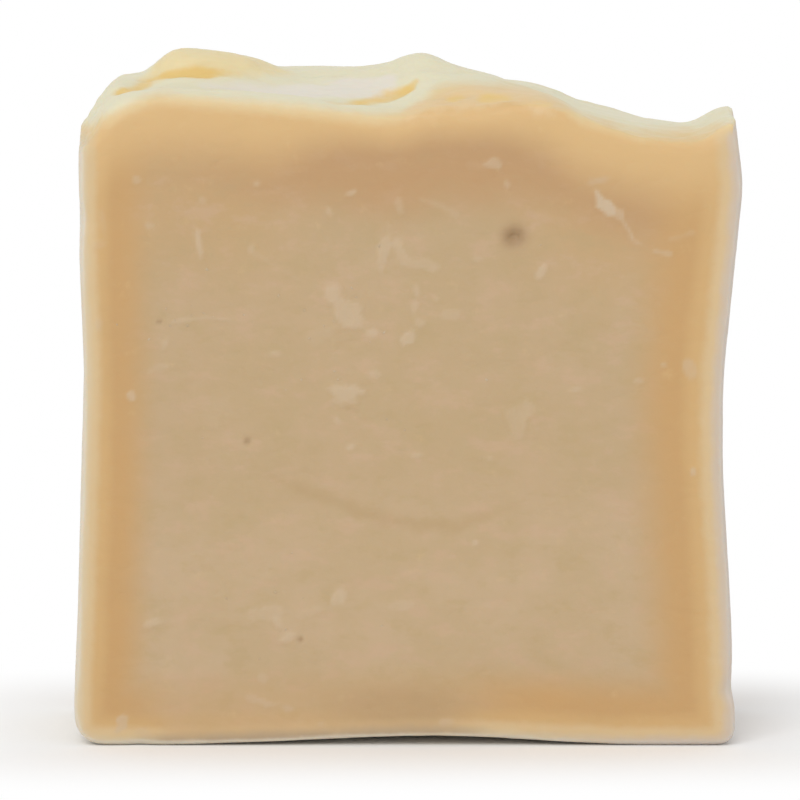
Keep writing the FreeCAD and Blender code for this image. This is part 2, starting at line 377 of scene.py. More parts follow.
TOP_STREAKS = (
    # Painted shade: the crease streaks darken the creases of the worked top, which are also pressed in as grooves.
    TopStreak(
        "crease_shade",
        (
            (-34.2, -6.8, 75.7), (-33.1, -7.4, 76.1), (-31.6, -7.0, 76.3), (-30.0, -2.8, 77.1), (-28.0, -3.4, 77.7),
            (-26.4, -3.9, 77.8), (-23.4, -3.8, 77.9), (-21.4, -3.2, 77.9), (-17.0, -2.0, 77.4),
        ),
        (0.6, 1.2, 1.2, 1.0, 0.9, 1.1, 1.2, 1.0, 0.8), (0.3, 1.0, 0.9, 0.6, 0.8, 1.0, 1.0, 0.6, 0.0), 0.3,
    ),
    TopStreak(
        "crease_shade",
        (
            (-8.5, -9.5, 74.5), (-5.2, -7.3, 74.9), (-2.2, -5.4, 75.4), (-0.8, -5.5, 75.8), (0.1, -5.4, 76.3),
            (0.8, -4.9, 76.9),
        ),
        (1.2, 1.4, 1.4, 1.2, 1.0, 0.5), (0.4, 0.7, 0.7, 0.8, 0.9, 0.6), 0.3,
    ),
    TopStreak("crease_shade", ((5.2, -9.8, 75.6), (6.2, -9.4, 75.7)), (0.9, 0.8), (0.7, 0.5), 0.2),
    TopStreak("crease_shade", ((9.3, -10.0, 75.5), (11.5, -10.2, 75.5)), (1.3, 1.0), (0.7, 0.6), 0.2),
    TopStreak("crease_shade", ((13.3, -11.7, 75.2), (16.4, -11.3, 75.1)), (0.8, 1.0), (0.4, 0.5), 0.15),
    TopStreak(
        "tan", ((1.5, -11.0, 75.0), (7.0, -9.5, 75.8), (12.0, -9.5, 75.7), (17.0, -11.5, 74.9)),
        (2.2, 3.0, 3.0, 1.6), (0.8, 1.0, 1.0, 0.8),
    ),
    TopStreak(
        "trough", ((-23.0, -6.3, 76.6), (-14.0, -5.0, 75.8), (-4.0, -3.5, 76.2)), (1.6, 3.2, 3.2), (0.5, 1.0, 1.0),
    ),
    TopStreak(
        "ridge", ((-28.5, -2.5, 78.6), (-23.0, -1.5, 79.6), (-15.0, 0.5, 78.4)), (2.6, 3.4, 2.4), (1.0, 1.0, 0.6),
    ),
)
# Where the cream of the top starts as seen from the front: across and up.
CREAM_LINE = (
    (-36.5, 73.4), (-35.4, 74.3), (-33.6, 74.9), (-31.3, 76.1), (-28.5, 77.1), (-21.5, 76.4), (-12.3, 75.6),
    (-4.2, 74.7), (-0.8, 74.9), (1.5, 76.4), (3.8, 78.0), (8.4, 78.0), (14.2, 77.9), (17.7, 76.5), (20.0, 74.7),
    (22.3, 74.1), (26.9, 72.8), (33.8, 72.9), (35.5, 73.6),
)
# Chips in the bar's edges: across, through, up, radius and depth.
CHIPS = (
    (-38.3, -12.4, 61.4, 1.9, 0.5), (-38.4, -12.4, 58.6, 1.0, 0.25), (37.6, -12.5, 6.6, 1.2, 0.35),
    (-31.0, -12.5, 0.0, 1.3, 0.3), (38.0, 12.5, 30.0, 1.5, 0.35), (-38.2, 12.5, 12.0, 1.4, 0.35),
    (9.0, 12.5, 0.0, 1.5, 0.35),
)


class Averager:
    """Averages values over a mesh, each point with those beside it."""

    def __init__(self, mesh: Mesh) -> None:
        """Reads which points lie side by side.

        Args:
            mesh: The mesh whose edges are used.
        """
        pairs = np.empty(len(mesh.edges) * 2, dtype=np.int32)
        mesh.edges.foreach_get("vertices", pairs)
        self.first, self.second = pairs.reshape(-1, 2).T
        self.count = len(mesh.vertices)
        beside = np.bincount(self.first, minlength=self.count) + np.bincount(self.second, minlength=self.count)
        self.beside = np.maximum(beside, 1)

    def once(self, values: np.ndarray) -> np.ndarray:
        """Works out the mean of each point's neighbours.

        Args:
            values: One row for each point, of one or more columns.

        Returns:
            The means, in the same shape.
        """
        columns = values.reshape(self.count, -1)
        means = np.empty_like(columns)
        for k in range(columns.shape[1]):
            total = np.bincount(self.first, columns[self.second, k], self.count)
            total += np.bincount(self.second, columns[self.first, k], self.count)
            means[:, k] = total / self.beside
        return means.reshape(values.shape)

    def smooth(self, values: np.ndarray, rounds: int, share: np.ndarray | float = 0.5) -> np.ndarray:
        """Moves values towards their neighbours' mean.

        Args:
            values: One row for each point.
            rounds: How many times.
            share: How far each time, from 0 to 1, for all the points or for each.

        Returns:
            The smoothed values.
        """
        for _ in range(rounds):
            values = values + share * (self.once(values) - values)
        return values


class Edging:
    """Where the bar's outline runs, so that a place can be measured in from each side of it."""

    STEP = 0.75
    CORNER = 2.0

    def __init__(self, places: np.ndarray) -> None:
        """Measures the outline.

        Args:
            places: Points all over the bar, in millimetres, less than STEP apart.
        """
        x, y, z = places.T
        self.half_thickness = float(np.abs(y).max())
        self.left = self.line(z, x, np.minimum)
        self.right = self.line(z, x, np.maximum)
        self.foot = self.line(x, z, np.minimum)
        front = y < -self.half_thickness + self.STEP
        back = y > self.half_thickness - self.STEP
        self.front_lip = self.line(x[front], z[front], np.maximum)
        self.back_lip = self.line(x[back], z[back], np.maximum)

    def line(self, along: np.ndarray, value: np.ndarray, pick: np.ufunc) -> tuple:
        """Draws one side of the outline.

        Args:
            along: Where each point lies along the side.
            value: How far out it lies.
            pick: numpy's minimum or maximum, whichever is outwards.

        Returns:
            Places along the side, and how far out the side lies at each.
        """
        lowest = along.min()
        cells = ((along - lowest) / self.STEP).astype(int)
        start = -np.inf if pick is np.maximum else np.inf
        reach = np.full(cells.max() + 1, start)
        pick.at(reach, cells, value)
        filled = np.isfinite(reach)
        middles = lowest + (np.arange(len(reach)) + 0.5) * self.STEP
        return middles[filled], reach[filled]

    def inwards(self, places: np.ndarray) -> dict:
        """Measures how far in from each side places lie.

        Args:
            places: Places in millimetres, one a row.

        Returns:
            Distances in millimetres, by the name of the side.
        """
        x, y, z = places.T
        back_share = (y + self.half_thickness) / (2 * self.half_thickness)
        across = np.clip(x, self.front_lip[0][0] + self.CORNER, self.front_lip[0][-1] - self.CORNER)
        lip = np.interp(across, *self.front_lip) * (1 - back_share) + np.interp(across, *self.back_lip) * back_share
        return {
            "left": x - np.interp(z, *self.left),
            "right": np.interp(z, *self.right) - x,
            "foot": z - np.interp(x, *self.foot),
            "lip": lip - z,
        }


@dataclass
class Nodes:
    """Builds one node tree, a node to a line."""

    tree: NodeTree

    def add(self, kind: str, settings: dict | None = None, **links: object) -> bpy.types.Node:
        """Adds a node.

        Args:
            kind: Blender's name for the kind of node.
            settings: The node's own settings, by name.
            links: Sockets or plain values for its inputs, by the inputs' names with _ for spaces.

        Returns:
            The node.
        """
        node = self.tree.nodes.new(kind)
        for name, value in (settings or {}).items():
            setattr(node, name, value)
        for name, value in links.items():
            self.feed(node.inputs[name.replace("_", " ")], value)
        return node

    def feed(self, socket: NodeSocket, value: object) -> None:
        """Gives a node's input its value.

        Args:
            socket: The input.
            value: Another node's output to be linked, or a plain value.
        """
        if isinstance(value, NodeSocket):
            self.tree.links.new(value, socket)
        else:
            socket.default_value = value

    def operate(self, kind: str, operation: str, values: tuple) -> NodeSocket:
        """Adds a Math or a Vector Math node.

        Args:
            kind: Blender's name for the kind of node.
            operation: What it does.
            values: Its inputs, in order.

        Returns:
            The node's first output.
        """
        node = self.add(kind, {"operation": operation})
        for socket, value in zip(node.inputs, values):
            self.feed(socket, value)
        return node.outputs[0]

    def math(self, operation: str, *values: object) -> NodeSocket:
        """Adds a Math node and returns its result."""
        return self.operate("ShaderNodeMath", operation, values)

    def times(self, first: object, second: object) -> NodeSocket:
        """Multiplies two numbers and returns the result."""
        return self.math("MULTIPLY", first, second)

    def vector(self, operation: str, *values: object) -> NodeSocket:
        """Adds a Vector Math node and returns its vector."""
        return self.operate("ShaderNodeVectorMath", operation, values)

    def scaled(self, vector: object, factor: object) -> NodeSocket:
        """Scales a vector by a number and returns the result."""
        return self.add("ShaderNodeVectorMath", {"operation": "SCALE"}, Vector=vector, Scale=factor).outputs[0]

    def ease(self, value: object, start: object, end: object, most: float = 1.0) -> NodeSocket:
        """Eases a value from 0 at start to most at end and returns the result."""
        ends = {"Value": value, "From_Min": start, "From_Max": end, "To_Max": most}
        return self.add("ShaderNodeMapRange", {"interpolation_type": "SMOOTHSTEP"}, **ends).outputs["Result"]

    def mix(self, share: object, base: object, over: object) -> NodeSocket:
        """Mixes two colours.

        Args:
            share: How much of the second there is, from 0 to 1.
            base: The first colour.
            over: The second colour.

        Returns:
            The mixed colour.
        """
        node = self.add("ShaderNodeMix", {"data_type": "RGBA"})
        for name, source in (("Factor_Float", share), ("A_Color", base), ("B_Color", over)):
            self.feed(next(s for s in node.inputs if s.identifier == name), source)
        return next(s for s in node.outputs if s.identifier == "Result_Color")

    def attribute(self, name: str, wobble: object = None, reach: float = 0.0) -> NodeSocket:
        """Reads a number that the mesh carries, moved by a wobble of -1 to 1 times its reach."""
        value = self.add("ShaderNodeAttribute", {"attribute_name": name}).outputs["Fac"]
        return value if wobble is None else self.math("MULTIPLY_ADD", wobble, reach, value)

    def carried(self, name: str, kind: str = "FLOAT") -> NodeSocket:
        """Reads what the points carry by that name, for Geometry Nodes, and returns it."""
        return self.add("GeometryNodeInputNamedAttribute", {"data_type": kind}, Name=name).outputs["Attribute"]

    def hand_over(self, geometry: object, offset: object, material: object) -> NodeTree:
        """Ends a Geometry Nodes group: moves the points and gives them the material.

        Args:
            geometry: The geometry.
            offset: How far each point moves.
            material: The material.

        Returns:
            The whole group.
        """
        moved = self.add("GeometryNodeSetPosition", Geometry=geometry, Offset=offset)
        dressed = self.add("GeometryNodeSetMaterial", Geometry=moved.outputs[0], Material=material)
        self.add("NodeGroupOutput", Geometry=dressed.outputs[0])
        return self.tree

    def noise(self, where: object, scale: object, detail: float = 3.0, roughness: float = 0.5) -> NodeSocket:
        """Adds a Noise Texture and returns its number, about 0.5 on the mean."""
        node = self.add("ShaderNodeTexNoise", Vector=where, Scale=scale, Detail=detail, Roughness=roughness)
        return next(s for s in node.outputs if s.type == "VALUE")

    def wobble(self, where: object, scale: float, detail: float) -> NodeSocket:
        """Adds noise from about -1 to 1 and returns it."""
        return self.math("MULTIPLY_ADD", self.noise(where, scale, detail, 0.6), 4.0, -2.0)


def node_group(name: str, kind: str, inputs: dict, outputs: tuple) -> Nodes:
    """Starts a node group with named inputs and outputs.

    Args:
        name: The group's name.
        kind: Blender's name for the kind of tree.
        inputs: Numbers by the inputs' names, and None for the input named Geometry and the one named Material.
        outputs: The outputs' names. All but Geometry are numbers.

    Returns:
        The group, ready for its nodes.
    """
    tree = bpy.data.node_groups.new(name, kind)
    for label, value in inputs.items():
        socket_type = f"NodeSocket{label}" if value is None else "NodeSocketFloat"
        socket = tree.interface.new_socket(name=label, in_out="INPUT", socket_type=socket_type)
        if value is not None:
            socket.default_value = value
    for label in outputs:
        socket_type = "NodeSocketGeometry" if label == "Geometry" else "NodeSocketFloat"
        tree.interface.new_socket(name=label, in_out="OUTPUT", socket_type=socket_type)
    return Nodes(tree)


def cleared(owner: Material | World) -> Nodes:
    """Turns on the nodes of a material or a world, and removes the ready-made ones.

    Args:
        owner: The material or the world.

    Returns:
        Its empty node tree.
    """
    owner.use_nodes = True
    owner.node_tree.nodes.clear()
    return Nodes(owner.node_tree)


def soap_grain_group() -> NodeTree:
    """Builds the grain that all the soap has: cloudy mottling, fine grain and tiny dimples.

    Returns:
        A shader group that gives two mottlings from 0 to 1, a roughness and a height in metres.
    """
    knobs = {
        "Cloud Scale": 90.0,
        "Fleck Scale": 330.0,
        "Grain Scale": 1400.0,
        "Grain Depth": 0.00002,
        "Dimple Depth": 0.00004,
        "Mean Roughness": 0.5,
    }
    nodes = node_group("soap_grain", "ShaderNodeTree", knobs, ("Clouds", "Flecks", "Roughness", "Height"))
    given = nodes.add("NodeGroupInput").outputs
    where = nodes.add("ShaderNodeTexCoord").outputs["Object"]
    drawn = nodes.vector("MULTIPLY", where, (0.55, 1.0, 1.0))
    clouds = nodes.noise(where, given["Cloud Scale"], 4.0, 0.6)
    specks = nodes.noise(drawn, given["Fleck Scale"], 4.0, 0.65)
    grain = nodes.noise(where, given["Grain Scale"], 4.0, 0.65)
    middle = nodes.noise(drawn, nodes.times(given["Grain Scale"], 0.35), 3.0, 0.6)
    spacing = nodes.times(given["Grain Scale"], 0.3)
    cells = nodes.add("ShaderNodeTexVoronoi", {"feature": "F1"}, Vector=where, Scale=spacing)
    dimples = nodes.ease(cells.outputs["Distance"], 0.30, 0.0)
    sparse = nodes.ease(nodes.noise(where, nodes.times(given["Grain Scale"], 0.12), 1.0), 0.54, 0.68)
    dimples = nodes.times(dimples, sparse)
    height = nodes.times(nodes.math("MULTIPLY_ADD", middle, 2.0, grain), given["Grain Depth"])
    height = nodes.math("SUBTRACT", height, nodes.times(dimples, given["Dimple Depth"]))
    roughness = nodes.math("ADD", given["Mean Roughness"], nodes.math("MULTIPLY_ADD", middle, 0.22, -0.11))
    nodes.add("NodeGroupOutput", Clouds=clouds, Flecks=specks, Roughness=roughness, Height=height)
    return nodes.tree


@dataclass(frozen=True)
class Finish:
    """What every finish of the soap has: its grain, its bump and a faint glow from within."""

    roughness: float = 0.52
    glow_weight: float = 0.25
    glow_reach: float = 0.0016
    glow_spread: tuple = (1.0, 0.62, 0.36)
    refraction: float = 1.46

    def material(self, name: str, grain: NodeTree) -> Material:
        """Makes the material.

        Args:
            name: The material's name.
            grain: The soap grain group.

        Returns:
            The material.
        """
        material = bpy.data.materials.new(name)
        nodes = cleared(material)
        texture = nodes.add("ShaderNodeGroup", {"node_tree": grain}, Mean_Roughness=self.roughness).outputs
        bump = nodes.add("ShaderNodeBump", Height=texture["Height"], Distance=1.0)
        shader = nodes.add(
            "ShaderNodeBsdfPrincipled",
            Base_Color=self.colour(nodes, texture),
            Roughness=texture["Roughness"],
            Normal=bump.outputs["Normal"],
            Subsurface_Weight=self.glow_weight,
            Subsurface_Radius=self.glow_spread,
            Subsurface_Scale=self.glow_reach,
            IOR=self.refraction,
        )
        nodes.add("ShaderNodeOutputMaterial", Surface=shader.outputs["BSDF"])
        return material

    def colour(self, nodes: Nodes, texture: object) -> NodeSocket:
        """Returns the finish's colour, which each finish builds for itself."""
        raise NotImplementedError


@dataclass(frozen=True)
class SoapFinish(Finish):
    """Cured soap: tan at heart and pale where it met mould and air. The amber towards its edges and the browner and
    yellow bands near the top of a cut face are painted light glowing through the soap. The pale rim on the cut faces
    is partly soda ash and partly painted highlight on the rounded edge, and a little darker on the right with painted
    shade. The creases, folds, pits and bubble get painted shade.
    """

    heart: tuple = srgb(194, 167, 130)
    heart_low: tuple = srgb(197, 171, 136)
    rosy_fleck: tuple = srgb(203, 171, 140)
    green_fleck: tuple = srgb(187, 162, 119)
    # Painted light: the browner band and the yellow band near the top of a cut face stand for light from the top
    # scattered through the soap.
    painted_glow_band: tuple = srgb(191, 153, 109)
    painted_glow_under_lip: tuple = srgb(217, 181, 127)
    lip: tuple = srgb(222, 197, 149)
    # Painted light: the amber tones inside the outline of a cut face stand for light glowing through the soap near
    # its edges.
    painted_glow_deep_amber: tuple = srgb(200, 160, 107)
    amber: tuple = srgb(208, 171, 117)
    light_amber: tuple = srgb(214, 187, 143)
    # The pale rim is partly soda ash and partly painted highlight on the rounded edge of the cut faces.
    rim_ash_and_highlight: tuple = srgb(213, 195, 161)
    # Towards the right the rim and the moulded sides turn rosier and a little darker, partly the soap's own tone and
    # partly painted shade on the side away from the lamp.
    rosy_shaded_rim: tuple = srgb(208, 191, 171)
    moulded: tuple = srgb(219, 208, 188)
    rosy_shaded_moulded: tuple = srgb(212, 200, 187)
    foot_brown: tuple = srgb(186, 155, 113)
    foot_rim: tuple = srgb(183, 161, 132)
    cream: tuple = srgb(223, 217, 188)
    trough: tuple = srgb(225, 218, 203)
    ridge: tuple = srgb(228, 211, 165)
    tan_top: tuple = srgb(224, 197, 153)
    # Painted shade in the creases of the worked top.
    crease_shade: tuple = srgb(227, 194, 121)
    smear: tuple = srgb(203, 180, 150)
    # Painted shade along the pressed-in folds of the cut faces.
    fold: tuple = srgb(184, 155, 113)
    # Painted shade in the bubble's hollow, in a halo around it, and in the pits.
    bubble: tuple = srgb(172, 142, 105)
    ragged_scale: float = 420.0
    wavy_scale: float = 60.0

    def colour(self, nodes: Nodes, texture: object) -> NodeSocket:
        """Builds the colour, from the heart outwards.

        Args:
            nodes: The material's nodes.
            texture: What the soap grain gives.

        Returns:
            The colour.
        """
        where = nodes.add("ShaderNodeTexCoord").outputs["Object"]
        ragged = nodes.wobble(where, self.ragged_scale, 4.0)
        wavy = nodes.wobble(where, self.wavy_scale, 3.0)
        colour = self.heart_colour(nodes, where, texture, wavy)
        colour = self.painted_glow_and_rim_colour(nodes, colour, ragged, wavy)
        return self.top_colour(nodes, colour, ragged, wavy)

    def heart_colour(self, nodes: Nodes, where: object, texture: object, wavy: object) -> NodeSocket:
        """Colours the middle of a cut face, and the browner band and amber wash near its top, which are painted light
        from the top scattered through the soap.

        Args:
            nodes: The material's nodes.
            where: Each place on the bar.
            texture: What the soap grain gives.
            wavy: The broad wobble of the zones' edges.

        Returns:
            The colour.
        """
        place = nodes.add("ShaderNodeSeparateXYZ", Vector=where).outputs
        colour = nodes.mix(nodes.ease(place["Z"], 0.035, 0.018), self.heart, self.heart_low)
        colour = nodes.mix(nodes.ease(texture["Clouds"], 0.35, 0.60, 0.35), colour, self.green_fleck)
        below = nodes.attribute("below_lip", wavy, 1.0)
        # Painted light: a browner amber wash and band near the top of the face, for light from the top scattered
        # through the soap.
        off_middle = nodes.ease(nodes.math("ABSOLUTE", place["X"]), 0.006, 0.022)
        wash = nodes.times(nodes.ease(below, 27.0, 9.0, 0.5), off_middle)
        colour = nodes.mix(wash, colour, self.painted_glow_deep_amber)
        band = nodes.times(nodes.ease(below, 15.0, 8.0), nodes.ease(place["X"], -0.036, -0.012))
        band = nodes.math("MAXIMUM", band, nodes.ease(below, 12.0, 6.0, 0.55))
        for share, most in ((None, 0.40), (band, 0.14)):
            if share is not None:
                colour = nodes.mix(share, colour, self.painted_glow_band)
            colour = nodes.mix(nodes.ease(texture["Flecks"], 0.50, 0.68, most), colour, self.rosy_fleck)
            colour = nodes.mix(nodes.ease(texture["Flecks"], 0.48, 0.32, most), colour, self.green_fleck)
        return colour

    def painted_glow_and_rim_colour(self, nodes: Nodes, colour: object, ragged: object, wavy: object) -> NodeSocket:
        """Colours the amber band inside the outline and the yellow band under the lip, both painted light glowing
        through the soap, the pale rim outside the outline, partly soda ash and partly painted highlight on the
        rounded edge, and the moulded sides.

        Args:
            nodes: The material's nodes.
            colour: The colour so far.
            ragged: The fine wobble of the zones' edges.
            wavy: The broad wobble of the zones' edges.

        Returns:
            The colour.
        """
        depth = nodes.attribute("edge_depth", wavy, 0.35)
        strength = nodes.attribute("painted_glow_strength")
        # Painted light: amber bands inside the outline, for light glowing through the soap near its edges.
        for start, end, tone in ((9.5, 4.6, self.painted_glow_deep_amber), (4.3, 2.6, self.amber)):
            share = nodes.times(nodes.ease(depth, start, end), strength)
            colour = nodes.mix(share, colour, tone)
        colour = nodes.mix(nodes.attribute("foot_brown", wavy, 0.15), colour, self.foot_brown)
        # Painted light: a yellow band just under the lip, for light from the top glowing through the soap.
        colour = nodes.mix(nodes.ease(nodes.attribute("painted_glow_under_lip", wavy, 0.35), 10.5, 2.4), colour, self.painted_glow_under_lip)
        fine = nodes.attribute("edge_depth", ragged, 0.18)
        # Rosier and a little darker towards the right: partly the soap's own tone and partly painted shade.
        rosy = nodes.attribute("rosy_shaded_side")
        rim_ash_and_highlight = nodes.mix(rosy, self.rim_ash_and_highlight, self.rosy_shaded_rim)
        full = nodes.ease(strength, 0.0, 0.8)
        weak = nodes.ease(strength, 0.9, 0.3)
        # The pale rim is partly soda ash and partly painted highlight on the rounded edge.
        for start, end, part, tone in (
            (2.7, 1.5, full, self.light_amber),
            (1.6, 0.5, full, rim_ash_and_highlight),
            (2.0, 0.4, weak, self.foot_rim),
        ):
            colour = nodes.mix(nodes.times(nodes.ease(fine, start, end), part), colour, tone)
        bloom = nodes.mix(rosy, self.moulded, self.rosy_shaded_moulded)
        bloom = nodes.mix(nodes.ease(wavy, 0.1, 0.9, 0.35), bloom, self.light_amber)
        moulded = nodes.attribute("moulded", ragged, 0.12)
        return nodes.mix(nodes.ease(moulded, 0.15, 0.9), colour, bloom)

    def top_colour(self, nodes: Nodes, colour: object, ragged: object, wavy: object) -> NodeSocket:
        """Colours the worked top, pale cream with amber creases of painted shade, and the marks on the cut faces,
        where the folds, the pits and the bubble get painted shade.

        Args:
            nodes: The material's nodes.
            colour: The colour so far.
            ragged: The fine wobble of the zones' edges.
            wavy: The broad wobble of the zones' edges.

        Returns:
            The colour.
        """
        above = nodes.attribute("above_line", ragged, 0.22)
        worked = nodes.ease(nodes.attribute("moulded"), 0.8, 0.3)
        colour = nodes.mix(nodes.times(nodes.ease(above, -2.9, -1.2), worked), colour, self.lip)
        cream = self.cream
        for zone, tone in (("trough", self.trough), ("ridge", self.ridge)):
            cream = nodes.mix(nodes.ease(nodes.attribute(zone, wavy, 0.12), 0.1, 0.8), cream, tone)
        colour = nodes.mix(nodes.times(nodes.ease(above, -1.6, 0.1), worked), colour, cream)
        # Tan patches and smears are the soap's own colour; the crease, fold and bubble tones are painted shade.
        for name, wobble, start, end, most, tone in (
            ("tan", 0.30, 0.1, 0.9, 0.8, self.tan_top),
            ("crease_shade", 0.15, 0.05, 0.95, 1.0, self.crease_shade),
            ("smear", 0.07, 0.05, 1.0, 1.0, self.smear),
            ("fold", 0.07, 0.1, 1.0, 0.8, self.fold),
            ("bubble", 0.0, 0.0, 0.8, 1.0, self.bubble),
        ):
            colour = nodes.mix(nodes.ease(nodes.attribute(name, ragged, wobble), start, end, most), colour, tone)
        return colour


@dataclass(frozen=True)
class CrumbFinish(Finish):
    """Small crumbs of the same soap, dried paler."""

    pale: tuple = srgb(202, 178, 146)
    dark: tuple = srgb(195, 168, 132)
    roughness: float = 0.6
    glow_weight: float = 0.2
    glow_reach: float = 0.001

    def colour(self, nodes: Nodes, texture: object) -> NodeSocket:
        """Mottles the crumbs from dark to pale."""
        return nodes.mix(nodes.ease(texture["Flecks"], 0.4, 0.6), self.dark, self.pale)


def linked(name: str, data: bpy.types.ID) -> Object:
    """Puts a new object in the scene.

    Args:
        name: The object's name.
        data: Its mesh, camera or light.

    Returns:
        The object.
    """
    made = bpy.data.objects.new(name, data)
    bpy.context.scene.collection.objects.link(made)
    return made


def baked(holder: Object, name: str) -> Object:
    """Turns an object with modifiers into a plain mesh at the origin, and removes the holder.

    Args:
        holder: The object with live modifiers.
        name: The new object's name.

    Returns:
        The new object.
    """
    bpy.context.view_layer.update()
    seen = holder.evaluated_get(bpy.context.evaluated_depsgraph_get())
    mesh = bpy.data.meshes.new_from_object(seen)
    mesh.name = name
    bpy.data.objects.remove(holder)
    return linked(name, mesh)


def grown(holder: Object, tree: NodeTree, name: str, material: Material) -> Object:
    """Puts an object through a Geometry Nodes tree and keeps the result as a plain, smooth mesh.

    Args:
        holder: The object, which is used up.
        tree: The tree, which takes a material.
        name: The new object's name.
        material: The new object's material.

    Returns:
        The new object.
    """
    modifier = holder.modifiers.new(tree.name, "NODES")
    modifier.node_group = tree
    modifier[tree.interface.items_tree["Material"].identifier] = material
    done = baked(holder, name)
    done.data.shade_smooth()
    return done


def worked_surface_tree() -> NodeTree:
    """Builds the relief that pouring, spooning and cutting left all over the bar.

    Returns:
        A Geometry Nodes tree that moves each point inwards along its normal.
    """
    knobs = {
        "Geometry": None,
        "Spoon Depth": 0.00055,
        "Spoon Scale": 190.0,
        "Tooth Depth": 0.00008,
        "Tooth Scale": 600.0,
        "Wave Depth": 0.00014,
        "Wave Scale": 60.0,
        "Material": None,
    }
    nodes = node_group("worked_surface", "GeometryNodeTree", knobs, ("Geometry",))
    given = nodes.add("NodeGroupInput").outputs
    where = nodes.add("GeometryNodeInputPosition").outputs[0]
    normal = nodes.add("GeometryNodeInputNormal").outputs[0]
    top = nodes.carried("open_top")
    strokes = nodes.vector("MULTIPLY", where, (0.45, 1.0, 1.0))
    spoon = nodes.ease(nodes.noise(strokes, given["Spoon Scale"], 3.0, 0.55), 0.42, 0.75)
    spoon = nodes.times(nodes.times(spoon, top), given["Spoon Depth"])
    tooth = nodes.ease(nodes.noise(strokes, given["Tooth Scale"], 3.0, 0.6), 0.35, 0.75)
    tooth = nodes.times(tooth, nodes.math("MULTIPLY_ADD", top, 0.6, 0.4))
    tooth = nodes.times(tooth, given["Tooth Depth"])
    wave = nodes.times(nodes.noise(where, given["Wave Scale"], 1.0, 0.4), given["Wave Depth"])
    depth = nodes.math("ADD", nodes.math("ADD", spoon, tooth), wave)
    inwards = nodes.times(depth, nodes.math("SUBTRACT", nodes.carried("still"), 1.0))
    return nodes.hand_over(given["Geometry"], nodes.scaled(normal, inwards), given["Material"])


